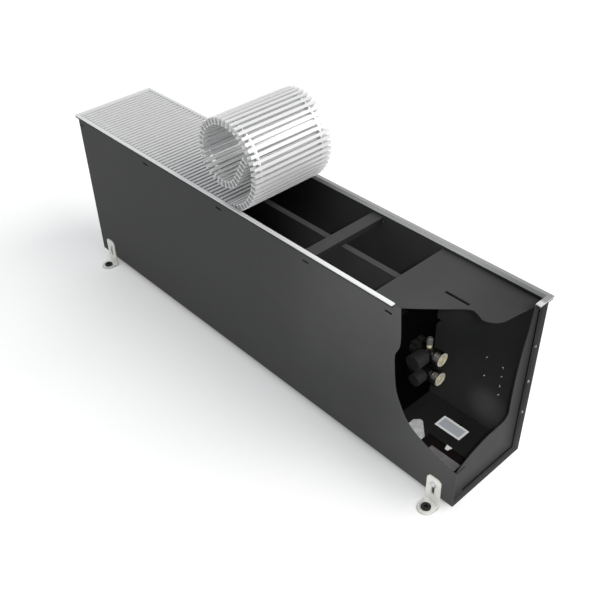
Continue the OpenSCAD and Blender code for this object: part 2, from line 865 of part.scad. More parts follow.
module tail_nut(z) {
    translate([nut_x, valve_y, z]) rotate([0, 90, 0]) difference() {
        cylinder(d = nut_af / cos(30), h = nut_len, $fn = 6);
        translate([0, 0, -over]) disc(bore(tube_d), nut_len + over * 2);
    }
}

module flow_tail_nut() {
    color([0.75, 0.73, 0.68]) tail_nut(flow_z);
}

module return_tail_nut() {
    color([0.75, 0.73, 0.68]) tail_nut(return_z);
}

// A straight valve body along X with its bonnet boss along -Y
module valve_body(z, boss_d, boss_len, stem_d) {
    difference() {
        union() {
            rod_x(body_x, valve_y, z, neck_d, neck_len);
            rod_x(belly_x, valve_y, z, valve_d, belly_len);
            rod_x(belly_x + belly_len, valve_y, z, out_neck_d, out_neck_len);
            rod_x(union_x, valve_y, z, union_d, union_len);
            rod_y(bonnet_x, valve_y, z, boss_d, boss_len);
        }
        rod_x(body_x - over, valve_y, z, flow_bore, union_x + union_len - body_x + over * 2);
        rod_x(union_x + union_len - plug_depth, valve_y, z, plug_d, plug_depth + over);
        rod_y(bonnet_x, valve_y, z, bore(stem_d), boss_len + over);
    }
}

module flow_valve_body() {
    color([0.78, 0.76, 0.7]) difference() {
        valve_body(flow_z, flow_boss_d, flow_boss_len, pin_d);
        translate([bonnet_x, valve_y, flow_z]) disc(bore(vent_stem_d), valve_d);
    }
}

module return_valve_body() {
    color([0.78, 0.76, 0.7]) valve_body(return_z, return_boss_d, return_boss_len, spindle_d);
}

// The brass plug that closes a pipe end for transport
module blank_plug(z) {
    x = union_x + union_len - plug_depth + fit_gap;
    rod_x(x, valve_y, z, plug_d - fit_gap * 2, plug_depth - plug_sink - fit_gap);
    rod_x(x, valve_y, z, plug_boss_d, plug_depth - plug_sink + plug_boss_h - fit_gap);
}

module flow_blank_plug() {
    color([0.75, 0.66, 0.35]) blank_plug(flow_z);
}

module return_blank_plug() {
    color([0.75, 0.66, 0.35]) blank_plug(return_z);
}

// The steel pin that closes the flow valve when its cap is screwed down
module flow_pin() {
    color([0.65, 0.65, 0.67]) rod_y(bonnet_x, valve_y - pin_at, flow_z, pin_d, pin_len);
}

module return_spindle() {
    hex_len = return_boss_len - spindle_at;
    color([0.7, 0.66, 0.45]) {
        rod_y(bonnet_x, valve_y - spindle_at, return_z, spindle_d, hex_len);
        translate([bonnet_x, valve_y - spindle_at, return_z]) rotate([90, 0, 0])
            cylinder(d = spindle_d - side_gap, h = spindle_len, $fn = 6);
    }
}

// The outline of a round knob with grooves round it
module grooved_circle(d, count) {
    difference() {
        circle(d = d, $fn = fine);
        for (i = [0 : count - 1])
            rotate(i * 360 / count) translate([d / 2, 0]) circle(d = groove_d, $fn = 16);
    }
}

// A grooved cap that covers a bonnet boss
module valve_cap(z, d, at, len, boss_d, hollow) {
    translate([bonnet_x, valve_y - at, z]) rotate([90, 0, 0]) difference() {
        linear_extrude(len) grooved_circle(d, cap_grooves);
        translate([0, 0, -over]) disc(boss_d + cap_gap * 2, hollow + over);
    }
}

module flow_cap() {
    color([0.08, 0.08, 0.09])
        valve_cap(flow_z, flow_cap_d, flow_cap_at, flow_cap_len, flow_boss_d, flow_cap_hollow);
}

module return_cap() {
    color([0.08, 0.08, 0.09])
        valve_cap(return_z, return_cap_d, return_cap_at, return_cap_len, return_boss_d, return_cap_hollow);
}

// The brass seat of the air vent on top of the flow valve
module vent_body() {
    z = vent_z - side_gap;
    h = vent_boss_h + side_gap;
    color([0.7, 0.62, 0.4]) difference() {
        translate([bonnet_x, valve_y, z]) disc(vent_boss_d, h);
        rod_x(belly_x, valve_y, flow_z, bore(valve_d), belly_len);
        translate([bonnet_x, valve_y, z - over]) disc(bore(vent_stem_d), h + over * 2);
    }
}

module vent_knob() {
    z = vent_z + vent_boss_h + vent_gap;
    stem = vent_stem_len + vent_gap;
    color([0.72, 0.74, 0.72]) translate([bonnet_x, valve_y, z]) {
        linear_extrude(vent_h - vent_cone) grooved_circle(vent_d, vent_grooves);
        translate([0, 0, vent_h - vent_cone])
            cylinder(d1 = vent_d - groove_d, d2 = vent_d - vent_cone - groove_d, h = vent_cone, $fn = fine);
        translate([0, 0, -stem]) disc(vent_stem_d, stem);
    }
}

// Floor of the valve chamber

// Galvanised plate on the floor between the valves and the pipe slot
module floor_plate() {
    x1 = pipe_slot_x;
    x0 = x1 - floor_plate_len;
    y0 = floor_plate_y;
    y1 = y0 + floor_plate_w;
    a = floor_plate_corner;
    c = floor_plate_chamfer;
    color([0.78, 0.79, 0.79]) translate([0, 0, floor_z]) linear_extrude(floor_plate_t)
        polygon([[x0, y0], [x1, y0], [x1, y1 - c], [x1 - c, y1], [x0 + a, y1], [x0, y1 - a]]);
}

// Galvanised plate on the floor that closes part of the pipe slot
module slot_cover() {
    x = pipe_slot_x + slot_cover_in;
    color([0.6, 0.59, 0.59]) block([x, slot_cover_far - slot_cover_w, floor_z],
        [x + slot_cover_len, slot_cover_far, floor_z + slot_cover_t]);
}

module blank_rating_plate() {
    color([0.85, 0.86, 0.87])
        block([plate_x, plate_y, floor_z], [plate_x + plate_len, plate_y + plate_w, floor_z + rating_t]);
}

// A small plastic edge clip on the pipe slot
module slot_clip() {
    x = pipe_slot_x + clip_in;
    y = pipe_slot_far;
    wide = clip_len / 2;
    color([0.92, 0.92, 0.92]) translate([0, 0, floor_z]) linear_extrude(clip_t)
        polygon([[x - wide, y], [x + wide, y], [x + wide / 2, y - clip_w], [x - wide / 2, y - clip_w]]);
}

// Feet

// The L bracket of a foot, drawn against the near wall at x = 0
module foot_bracket() {
    y = -foot_face;
    out = foot_hole_out + foot_w / 2;
    difference() {
        union() {
            translate([0, y, 0]) rotate([90, 0, 0]) linear_extrude(foot_t) foot_outline();
            translate([-foot_w / 2, y - foot_hole_out, 0]) cube([foot_w, foot_hole_out, foot_t]);
            translate([0, y - foot_hole_out, 0]) cylinder(d = foot_w, h = foot_t, $fn = fine);
        }
        translate([0, y - foot_hole_out, -over]) disc(bore(grommet_neck_d), foot_t + over * 2);
        for (z = [foot_screw_z, foot_screw_z - foot_travel])
            rod_y(0, y + over, z, foot_slot_w, foot_t + over * 2);
        block([-foot_slot_w / 2, y - foot_t - over, foot_screw_z - foot_travel],
            [foot_slot_w / 2, y + over, foot_screw_z]);
    }
}

// The upright's outline with its two round top corners
module foot_outline() {
    w = foot_w / 2;
    r = foot_corner_r;
    translate([-w, 0]) square([foot_w, foot_h - r]);
    translate([-w + r, 0]) square([foot_w - r * 2, foot_h]);
    for (side = [-1, 1]) translate([side * (w - r), foot_h - r]) circle(r = r, $fn = fine);
}

// The rubber grommet in a foot, drawn at the near wall at x = 0
module foot_grommet() {
    translate([0, -foot_face - foot_hole_out, 0]) difference() {
        union() {
            cylinder(d = grommet_neck_d, h = foot_t, $fn = fine);
            translate([0, 0, foot_t]) cylinder(d = grommet_d, h = grommet_h, $fn = fine);
        }
        translate([0, 0, -over]) cylinder(d = grommet_bore, h = foot_t + grommet_h + over * 2, $fn = fine);
    }
}

// Places a piece drawn at the near wall at one of the four feet
module at_foot(side, end) {
    translate([end < 0 ? foot_left_x : foot_right_x, 0, 0])
        if (side > 0) mirror([0, 1, 0]) children();
        else children();
}

module foot_near_left() {
    color([0.86, 0.84, 0.78]) at_foot(-1, -1) foot_bracket();
}

module foot_near_right() {
    color([0.86, 0.84, 0.78]) at_foot(-1, 1) foot_bracket();
}

module foot_far_left() {
    color([0.86, 0.84, 0.78]) at_foot(1, -1) foot_bracket();
}

module foot_far_right() {
    color([0.86, 0.84, 0.78]) at_foot(1, 1) foot_bracket();
}

module grommet_near_left() {
    color([0.06, 0.06, 0.06]) at_foot(-1, -1) foot_grommet();
}

module grommet_near_right() {
    color([0.06, 0.06, 0.06]) at_foot(-1, 1) foot_grommet();
}

module grommet_far_left() {
    color([0.06, 0.06, 0.06]) at_foot(1, -1) foot_grommet();
}

module grommet_far_right() {
    color([0.06, 0.06, 0.06]) at_foot(1, 1) foot_grommet();
}

// The screws that clamp the feet to the walls
module foot_screws() {
    color([0.8, 0.79, 0.75]) for (side = [-1, 1], end = [-1, 1]) at_foot(side, end) {
        rod_y(0, -foot_face - foot_t - foot_head_gap, foot_screw_z, foot_head_d, foot_head_h);
        rod_y(0, -inner_y + foot_nut_h, foot_screw_z, foot_screw_d,
            foot_face + foot_t + foot_head_gap - inner_y + foot_nut_h);
    }
}

// The nuts of those screws, inside the case
module foot_nuts() {
    color([0.7, 0.7, 0.72]) for (side = [-1, 1], end = [-1, 1]) at_foot(side, end)
        translate([0, -inner_y, foot_screw_z]) rotate([-90, 0, 0]) difference() {
            cylinder(d = foot_nut_af / cos(30), h = foot_nut_h, $fn = 6);
            translate([0, 0, -over]) disc(bore(foot_screw_d), foot_nut_h + over * 2);
        }
}

trough();
end_panel_left();
end_panel_right();
end_screws_left();
end_screws_right();
trim_near();
trim_far();
trim_left();
trim_right();
edge_seals();
grille_flat_bars();
grille_roll_bars();
grille_flat_sleeves();
grille_roll_sleeves();
crossbars();
end_ledge_left();
air_guide();
cover_plate();
cover_ledge_near();
cover_ledge_far();
partition_lower();
partition_upper();
copper_circuit();
fin_pack();
exchanger_plate_left();
exchanger_plate_right();
bracket_screws();
flow_tail_nut();
flow_valve_body();
flow_blank_plug();
flow_pin();
flow_cap();
return_tail_nut();
return_valve_body();
return_blank_plug();
return_spindle();
return_cap();
vent_body();
vent_knob();
floor_plate();
slot_cover();
blank_rating_plate();
slot_clip();
foot_near_left();
foot_near_right();
foot_far_left();
foot_far_right();
grommet_near_left();
grommet_near_right();
grommet_far_left();
grommet_far_right();
foot_screws();
foot_nuts();
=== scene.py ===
# %% [markdown]
# # A trench convector heater, finished in Blender
# The heater is a deep steel case for a floor trench, shown as a sample with one corner cut open.
# Its pieces arrive as a fixed frame that is never moved or resized. This lesson gives each piece
# its finish, and models again the few small pieces whose plain solids lack what a hand would feel:
# screw heads with a pressed recess, nuts with chamfers, the threads of the pipe unions and the
# bridges of the knock-outs.

# %% The frame
import json
import math

import bmesh
import bpy
from mathutils import Matrix, Vector


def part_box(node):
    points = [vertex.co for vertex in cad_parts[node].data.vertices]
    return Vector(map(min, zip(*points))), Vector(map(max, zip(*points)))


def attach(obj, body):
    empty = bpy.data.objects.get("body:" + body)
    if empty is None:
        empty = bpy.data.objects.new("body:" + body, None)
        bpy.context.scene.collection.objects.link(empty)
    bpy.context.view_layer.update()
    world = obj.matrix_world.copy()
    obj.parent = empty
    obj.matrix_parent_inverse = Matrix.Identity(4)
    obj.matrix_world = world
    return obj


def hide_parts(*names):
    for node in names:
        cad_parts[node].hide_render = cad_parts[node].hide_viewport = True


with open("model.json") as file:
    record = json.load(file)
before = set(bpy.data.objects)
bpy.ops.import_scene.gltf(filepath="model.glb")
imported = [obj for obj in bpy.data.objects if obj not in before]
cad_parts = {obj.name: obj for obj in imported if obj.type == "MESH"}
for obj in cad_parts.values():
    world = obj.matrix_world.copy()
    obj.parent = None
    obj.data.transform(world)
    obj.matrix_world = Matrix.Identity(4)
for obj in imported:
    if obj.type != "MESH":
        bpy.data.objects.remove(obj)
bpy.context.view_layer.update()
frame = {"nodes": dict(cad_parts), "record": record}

MM = 0.001
print("pieces in the frame:", len(frame["nodes"]))

# %% [markdown]
# ## Where the photographer stood
# A camera could be aimed by eye, but then its place would be a guess. Here its place, its
# three turns and its lens come from fitting the case's corners, so the camera is only written down.
# The turns build three axes: its right, its up and its back.

# %% The camera
CAMERA_AT = Vector((1.0260, -0.8650, 1.1757))
CAMERA_HEADING = math.radians(-48.00)
CAMERA_DIP = math.radians(38.41)
CAMERA_LEAN = math.radians(-1.50)
LENS_MM = 50
SENSOR_MM = 36


def camera_axes(heading, dip, lean):
    """The camera's right, up and backwards directions."""
    level_ahead = Vector((math.sin(heading), math.cos(heading), 0))
    ahead = level_ahead * math.cos(dip) - Vector((0, 0, math.sin(dip)))
    level = Vector((math.cos(heading), -math.sin(heading), 0))
    upright = level.cross(ahead)
    right = level * math.cos(lean) + upright * math.sin(lean)
    up = upright * math.cos(lean) - level * math.sin(lean)
    return right, up, -ahead


camera = bpy.data.objects.new("camera", bpy.data.cameras.new("camera"))
bpy.context.scene.collection.objects.link(camera)
camera_turn = Matrix(camera_axes(CAMERA_HEADING, CAMERA_DIP, CAMERA_LEAN)).transposed()
camera.matrix_world = Matrix.Translation(CAMERA_AT) @ camera_turn.to_4x4()
camera.data.lens = LENS_MM
camera.data.sensor_width = SENSOR_MM
bpy.context.scene.camera = camera
print("camera looks towards", [round(v, 3) for v in -camera_turn.col[2]])

# %% [markdown]
# ## Shader sums written as Python
# A finish is a small sum: some noise, stretched, weighed, added to a colour. Drawn as nodes it is
# hard to read, so a `Wire` holds one output socket and lets Python's own signs add the Math nodes.

# %% Wires


class Wire:
    """An output socket that can stand in a sum."""

    def __init__(self, recipe, socket):
        self.recipe = recipe
        self.socket = socket

    def sum_of(self, operation, first, second):
        return self.recipe.add("ShaderNodeMath", {"operation": operation}, {0: first, 1: second})

    def __add__(self, other):
        return self.sum_of("ADD", self, other)

    def __radd__(self, other):
        return self.sum_of("ADD", other, self)

    def __sub__(self, other):
        return self.sum_of("SUBTRACT", self, other)

    def __rsub__(self, other):
        return self.sum_of("SUBTRACT", other, self)

    def __mul__(self, other):
        return self.sum_of("MULTIPLY", self, other)

    def __rmul__(self, other):
        return self.sum_of("MULTIPLY", other, self)

    def __gt__(self, other):
        return self.sum_of("GREATER_THAN", self, other)

    def __lt__(self, other):
        return self.sum_of("LESS_THAN", self, other)


print("signs that add a node:", "+ - * > <")

# %% [markdown]
# ## Recipes
# A material and the sky are both a tree of nodes that ends in one shader. A `Recipe` owns one such
# tree. It has the only method that adds a node, so every node is set up in the same order: its
# settings first, because they can change its sockets, and then the sockets.

# %% Recipes


class Recipe:
    """The nodes that make one material, or the sky."""

    made = 0

    def __init__(self, owner, shader="Principled BSDF"):
        Recipe.made += 1
        owner.use_nodes = True
        self.owner = owner
        self.nodes = owner.node_tree.nodes
        self.links = owner.node_tree.links
        self.shader = self.nodes[shader]

    def feed(self, socket, value):
        if isinstance(value, Wire):
            self.links.new(value.socket, socket)
        else:
            socket.default_value = value

    def add(self, kind, settings=None, sockets=None, out=0):
        """Adds a node with its settings and sockets, and gives the wire that leaves it."""
        node = self.nodes.new(kind)
        for key, value in (settings or {}).items():
            setattr(node, key, value)
        for key, value in (sockets or {}).items():
            self.feed(node.inputs[key], value)
        return Wire(self, node.outputs[out])

    def set(self, **values):
        """Numbers, colours or wires for the shader's own sockets, written with _ for a space."""
        for key, value in values.items():
            self.feed(self.shader.inputs[key.replace("_", " ")], value)
        return self.owner


def recipe_for(name):
    """A recipe for a new material."""
    return Recipe(bpy.data.materials.new(name))


print("recipes so far:", Recipe.made)

# %% [markdown]
# ## Textures that live in the metal
# Every object here sits at the origin, so Blender's object coordinates are the heater's own metres:
# a grain 1 mm wide is a noise of scale 1000, and a place on the heater is a sum on X, Y and Z.
# Stretching those coordinates before the noise turns round grain into the long lines that drawing
# or brushing leaves.

# %% Places and grain
GRAIN_ROUGHNESS = 0.55


def place(recipe, stretch=(1, 1, 1)):
    """The point on the surface, in metres, with each axis multiplied."""
    here = recipe.add("ShaderNodeTexCoord", out="Object")
    return recipe.add("ShaderNodeVectorMath", {"operation": "MULTIPLY"}, {0: here, 1: stretch})


def axis_of(recipe, name):
    """One coordinate of the surface point, in metres."""
    return recipe.add("ShaderNodeSeparateXYZ", None, {0: place(recipe)}, out=name)


def distance_from(recipe, name, middle):
    """How far the surface point is from a middle, along one axis."""
    apart = axis_of(recipe, name) - middle
    return recipe.add("ShaderNodeMath", {"operation": "ABSOLUTE"}, {0: apart})


def grain(recipe, per_metre, stretch=(1, 1, 1), detail=3):
    """Noise from 0 to 1 with so many spots to the metre."""
    sockets = {"Vector": place(recipe, stretch), "Scale": per_metre,
               "Detail": detail, "Roughness": GRAIN_ROUGHNESS}
    return recipe.add("ShaderNodeTexNoise", None, sockets)


print("places and grain ready")

# %% [markdown]
# ## Mixing, mottling and bump
# No real surface has one flat colour or one gloss. Its spots could be painted as an image, but that
# needs unwrapping and blurs close up. Here the same noise wires drive the colour's tone, the
# roughness and a shallow bump, so the three agree as they do on real metal.

# %% Mixing, mottling and bump
NOISE_RANGE = (0.3, 0.7)
MIX_FIRST, MIX_SECOND, MIX_RESULT = 6, 7, 2
BLACK = (0, 0, 0)


def between(recipe, mask, low, high, from_low=0.0, from_high=1.0):
    """A number that goes smoothly from low to high as the mask goes through its own range."""
    settings = {"interpolation_type": "SMOOTHSTEP"}
    sockets = {"Value": mask, "From Min": from_low, "From Max": from_high,
               "To Min": low, "To Max": high}
    return recipe.add("ShaderNodeMapRange", settings, sockets)


def weigh(first, second, share):
    """Two wires in one, where the second has that share."""
    return first * (1 - share) + second * share


def rough_about(recipe, mask, roughness, swing, mask_range=NOISE_RANGE):
    """A roughness that wavers about its mean as a noise does."""
    return between(recipe, mask, roughness + swing[0], roughness + swing[1], *mask_range)


def blend_colours(recipe, mask, first, second):
    """One colour that turns into another as the mask goes from 0 to 1."""
    first, second = (c if isinstance(c, Wire) else (*c, 1) for c in (first, second))
    sockets = {0: mask, MIX_FIRST: first, MIX_SECOND: second}
    return recipe.add("ShaderNodeMix", {"data_type": "RGBA"}, sockets, out=MIX_RESULT)


def mottled(recipe, mask, colour, tones):
    """A colour that wavers between a darker and a lighter tone of itself."""
    dark, light = (tuple(min(1.0, c * tone) for c in colour) for tone in tones)
    return blend_colours(recipe, mask, dark, light)


def relief(recipe, height, depth):
    """A bump of that depth in metres."""
    sockets = {"Height": height, "Distance": depth, "Strength": 1.0}
    return recipe.add("ShaderNodeBump", None, sockets)


print("noise seldom leaves", NOISE_RANGE)

# %% [markdown]
# ## The sky
# An even sky fills every shadow softly. A picture of a studio could do that too, but its windows
# would show in the metal. The sky is white for the camera and dimmer for the light that falls on
# things, so the background is plain and the heater keeps its own dark colours.

# %% The sky
SKY_STRENGTH = 0.55
SKY_COLOUR = (0.96, 0.98, 1.0)


def seen_directly(recipe):
    """1 for rays from the camera, mirrors and glass, and 0 for the light that falls on things."""
    rays = [recipe.add("ShaderNodeLightPath", out=name)
            for name in ("Is Camera Ray", "Is Glossy Ray", "Is Transmission Ray")]
    return recipe.add("ShaderNodeClamp", None, {0: rays[0] + rays[1] + rays[2]})


world = bpy.data.worlds.new("studio")
bpy.context.scene.world = world
sky = Recipe(world, "Background")
sky.set(Color=(*SKY_COLOUR, 1), Strength=between(sky, seen_directly(sky), SKY_STRENGTH, 1.0))
bpy.context.scene.view_settings.view_transform = "Standard"
print("strength of the sky's light:", SKY_STRENGTH)

# %% [markdown]
# ## The floor
# The floor is a plain diffuse sheet that keeps the heater's shadow, lifted to white by a little glow
# that only the camera and mirrors see, so no extra light falls on the heater. Under the case and in
# the holes of the feet the glow stops and the floor's colour turns almost black, as painted shade
# where a real floor is dark. A box on the floor's own place masks the case, and the amount of open
# air round a point, which Ambient Occlusion measures, finds the holes wherever the feet stand.

# %% The floor
FLOOR_HALF = 12.0
FLOOR_GREY = 0.78
FLOOR_GLOW = 0.34
SHADE_COLOUR = (0.014, 0.010, 0.010)
SHADE_INSET = 6 * MM
SHADE_FADE = 24 * MM
HOLE_REACH = 14 * MM
HOLE_OPENNESS = (0.42, 0.85)
HOLE_SAMPLES = 12


def open_floor(recipe):
    """1 where the floor is open, and 0 under the case and where a foot's hole closes it in."""
    case_low, case_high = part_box("trough")
    middle, half = (case_low + case_high) / 2, (case_high - case_low) / 2
    covered = 1.0
    for k, name in enumerate("XY"):
        edge = half[k] - SHADE_INSET
        covered = covered * between(recipe, distance_from(recipe, name, middle[k]),
                                    1.0, 0.0, edge - SHADE_FADE, edge)
    openness = recipe.add("ShaderNodeAmbientOcclusion", {"samples": HOLE_SAMPLES},
                          {"Distance": HOLE_REACH}, out="AO")
    return (1.0 - covered) * between(recipe, openness, 0.0, 1.0, *HOLE_OPENNESS)


def make_floor():
    mesh = bpy.data.meshes.new("floor")
    corners = [(-1, -1), (1, -1), (1, 1), (-1, 1)]
    mesh.from_pydata([(x * FLOOR_HALF, y * FLOOR_HALF, 0) for x, y in corners], [], [(0, 1, 2, 3)])
    floor = bpy.data.objects.new("floor", mesh)
    bpy.context.scene.collection.objects.link(floor)
    white = recipe_for("floor_white")
    lit = open_floor(white)
    white.set(Base_Color=blend_colours(white, lit, SHADE_COLOUR, (FLOOR_GREY,) * 3),
              Emission_Color=blend_colours(white, lit, BLACK, (1, 1, 1)),
              Emission_Strength=seen_directly(white) * FLOOR_GLOW)
    mesh.materials.append(white.set(Roughness=1.0, Specular_IOR_Level=0.0))


make_floor()
print("floor in m:", 2 * FLOOR_HALF)

# %% [markdown]
# ## Lamps
# The shadow falls forwards and to the left, so the key light comes from behind the heater's right
# end. An area lamp could stand there, but a sun as wide as a softbox lights both ends of a long
# case alike. Two narrow soft spots beside the camera then reach into the cut-away chamber and the
# open trench, which the key leaves black.

# %% Lamps
KEY_STRENGTH = 2.3
KEY_COLOUR = (1.0, 0.99, 0.97)
KEY_FROM = Vector((0.80, 0.40, 0.72))
KEY_SPREAD = math.radians(50)
SPOT_AT = Vector((1.05, -0.78, 1.16))
SPOT_SIZE = 0.05
SPOT_SOFTNESS = 0.8
SPOTS = {
    "window_lamp": (Vector((0.475, -0.01, 0.12)), 55.0, math.radians(11.5)),
    "trench_lamp": (Vector((0.30, 0.0, 0.33)), 48.0, math.radians(17)),
}


def hang(light, at, back):
    """Hangs a lamp at a place, with its back turned that way."""
    lamp = bpy.data.objects.new(light.name, light)
    bpy.context.scene.collection.objects.link(lamp)
    lamp.location = at
    lamp.rotation_mode = "QUATERNION"
    lamp.rotation_quaternion = back.to_track_quat("Z", "Y")


def make_key():
    light = bpy.data.lights.new("key", "SUN")
    light.energy = KEY_STRENGTH
    light.angle = KEY_SPREAD
    light.color = KEY_COLOUR
    hang(light, KEY_FROM, KEY_FROM)


def make_spot(name, aim, power, cone):
    """A narrow lamp beside the camera, soft at its edge, that shines on one place."""
    light = bpy.data.lights.new(name, "SPOT")
    light.energy = power
    light.spot_size = cone
    light.spot_blend = SPOT_SOFTNESS
    light.shadow_soft_size = SPOT_SIZE
    hang(light, SPOT_AT, SPOT_AT - aim)


make_key()
for name, (aim, power, cone) in SPOTS.items():
    make_spot(name, aim, power, cone)
print("key light from", [round(v, 2) for v in KEY_FROM.normalized()])

# %% [markdown]
# ## Painted shade on the case
# One paint covers the whole case, but little light reaches its inside, and its right end falls off
# towards the far and lower edges. This is painted shade: the inside, the chamber floor, the left
# end of the outside and the right end get darker factors, the right end's rim a painted highlight
# and a patch low on the far wall a painted sheen. Lamps alone can't make such small steps, so each
# place gets a factor for the paint's colour: a sum on X, Y and Z that stays where it is from every
# side.

# %% Painted shade on the case
TROUGH_LOW, TROUGH_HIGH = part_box("trough")
WALL_SKIN = 0.5 * MM
LEFT_SKIN = 2 * MM
RIGHT_SKIN = 4 * MM
# painted shade, darker towards the left end of the outside
LEFT_SHADE_TONE = 0.88
# painted shade on the right end, and a painted highlight on its rim
END_SHADE_TONES = (0.05, 0.51)
END_INSETS = (10 * MM, 66 * MM)
RIM_HIGHLIGHT = 0.17
RIM_INSETS = (11 * MM, 15 * MM)
# a painted sheen low on the far wall, with painted shade round it
SHEEN_AT = (0.464, 0.0915, 0.080)
SHEEN_AND_SHADE_TONES = (0.95, 0.42)
SHEEN_REACH = (8 * MM, 58 * MM)
# painted shade on the chamber floor
CHAMBER_FLOOR_Z = TROUGH_LOW.z + 2.5 * MM
CHAMBER_FLOOR_SHADE = 0.23


def end_shade(paint):
    """Painted shade on the end's outer face, darker towards its far and lower edges, with a painted
    highlight on the flange's rim.
    """
    insets = {0: TROUGH_HIGH.y - axis_of(paint, "Y"), 1: axis_of(paint, "Z") - TROUGH_LOW.z}
    inset = paint.add("ShaderNodeMath", {"operation": "MINIMUM"}, insets)
    rim = between(paint, inset, RIM_HIGHLIGHT, 0.0, *RIM_INSETS)
    return between(paint, inset, *END_SHADE_TONES, *END_INSETS) + rim


def inner_shade(paint):
    """Painted shade inside, darkest on the chamber floor, with a painted sheen low on the far wall.
    """
    apart = paint.add("ShaderNodeVectorMath", {"operation": "DISTANCE"},
                      {0: place(paint), 1: SHEEN_AT}, out="Value")
    walls = between(paint, apart, *SHEEN_AND_SHADE_TONES, *SHEEN_REACH)
    return between(paint, axis_of(paint, "Z") > CHAMBER_FLOOR_Z, CHAMBER_FLOOR_SHADE, walls)


def case_shade(paint):
    """Painted shade as a factor for the case's colour: full outside but darker towards the left end,
    less on the right end and inside.
    """
    along, across = axis_of(paint, "X"), axis_of(paint, "Y")
    sides = (across < TROUGH_LOW.y + WALL_SKIN) + (across > TROUGH_HIGH.y - WALL_SKIN)
    outside = (sides + (along < TROUGH_LOW.x + LEFT_SKIN)) > 0.5
    front = between(paint, along, LEFT_SHADE_TONE, 1.0, TROUGH_LOW.x, TROUGH_HIGH.x)
    at_end = along > TROUGH_HIGH.x - RIGHT_SKIN
    behind = between(paint, at_end, inner_shade(paint), end_shade(paint))
    return between(paint, outside, behind, front)


print("case's outer walls in mm:", [round(v / MM, 1) for v in TROUGH_HIGH - TROUGH_LOW])

# %% [markdown]
# ## Powder coat
# Case, chassis and cover are sheet steel under powder paint. A flat dark grey would look like
# plastic: real powder melts into a faint orange peel, about one ripple to the millimetre, and its
# gloss is a little uneven. Both come from noise that feeds bump and roughness. The case takes its
# painted shade from the cell above, the crossbars get painted shade below their upper faces, and
# the partitions and the cover's near ledge get a near-black paint that is painted shade too.

# %% Powder coat
PEEL_PER_METRE = 900
PEEL_DEPTH = 0.12 * MM
PEEL_SHARE = 0.2
CLOUD_PER_METRE = 9
PAINT_TONES = (0.92, 1.08)
PAINT_ROUGH_SWING = (-0.04, 0.06)
CROSSBAR_SIDE_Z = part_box("crossbars")[1].z - 1.2 * MM
# painted shade on the crossbars' sides
CROSSBAR_SIDE_SHADE = 0.35


def crossbar_shade(paint):
    """Painted shade that darkens the crossbars below their upper faces."""
    return between(paint, axis_of(paint, "Z") > CROSSBAR_SIDE_Z, CROSSBAR_SIDE_SHADE, 1.0)


def powder_coat(name, colour, roughness=0.5, gloss=0.06, dark=None):
    """Powder paint; dark gives the factor of its painted shade."""
    paint = recipe_for(name)
    cloud = grain(paint, CLOUD_PER_METRE)
    peel = grain(paint, PEEL_PER_METRE, detail=2)
    mask = between(paint, weigh(cloud, peel, PEEL_SHARE), 0, 1, *NOISE_RANGE)
    tint = mottled(paint, mask, colour, PAINT_TONES)
    if dark:
        tint = blend_colours(paint, dark(paint), BLACK, tint)
    rough = rough_about(paint, cloud, roughness, PAINT_ROUGH_SWING)
    paint.set(Base_Color=tint, Roughness=rough, Normal=relief(paint, peel, PEEL_DEPTH))
    return paint.set(Specular_IOR_Level=gloss)


case_paint = powder_coat("case_paint", (0.079, 0.079, 0.0795), dark=case_shade)
cover_paint = powder_coat("cover_paint", (0.047, 0.047, 0.0475))
chassis_paint = powder_coat("chassis_paint", (0.047, 0.047, 0.0475))
crossbar_paint = powder_coat("crossbar_paint", (0.049, 0.049, 0.0495), dark=crossbar_shade)
# near-black paint: painted shade on the partitions and the cover's near ledge
shade_black_paint = powder_coat("shade_black_paint", (0.003, 0.003, 0.003), 0.6, gloss=0.0)
print("recipes so far:", Recipe.made)

# %% [markdown]
# ## Extruded and anodised aluminium
# Trim, grille bars and sleeves are extruded, so die lines run along each length, and anodising
# leaves them satin. Noise stretched a hundred times along the length gives lines, and the same
# lines go into roughness and bump, so a highlight breaks up the way it does on the real profile.
# Beside the open trench the trims' upper faces get painted shade from a sum on their length. The
# far and right trims are darker, less metallic copies as painted shade, and the rolled bars a
# brighter, glossier copy of the grille bars as painted light.

# %% Anodised aluminium
DIE_LINES_PER_METRE = 2200
DIE_LINE_DEPTH = 0.02 * MM
SATIN_PER_METRE = 25
SATIN_SHARE = 0.4
ALUMINIUM_TONES = (0.94, 1.05)
ALUMINIUM_ROUGH_SWING = (-0.06, 0.08)
ALONG_X = (0.01, 1, 1)
ALONG_Y = (1, 0.01, 1)
TRIM_TOP_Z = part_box("trim_far")[1].z - 0.4 * MM
TRIM_CUT_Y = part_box("trim_right")[0].y
# painted shade on the trims' upper faces
TRIM_TOP_SHADE = 0.42
TRIM_SHADE_ALONG_X = (-120 * MM, -20 * MM)
TRIM_SHADE_ALONG_Y = (TRIM_CUT_Y + 8 * MM, TRIM_CUT_Y + 16 * MM)


def far_top_shade(metal):
    """Painted shade on the far trim's upper face beside the open trench, none beside the grille."""
    return between(metal, axis_of(metal, "X"), 1.0, TRIM_TOP_SHADE, *TRIM_SHADE_ALONG_X)


def right_top_shade(metal):
    """Painted shade on the right trim's upper face, left off near its cut end, which stays bright.
    """
    return between(metal, axis_of(metal, "Y"), 1.0, TRIM_TOP_SHADE, *TRIM_SHADE_ALONG_Y)


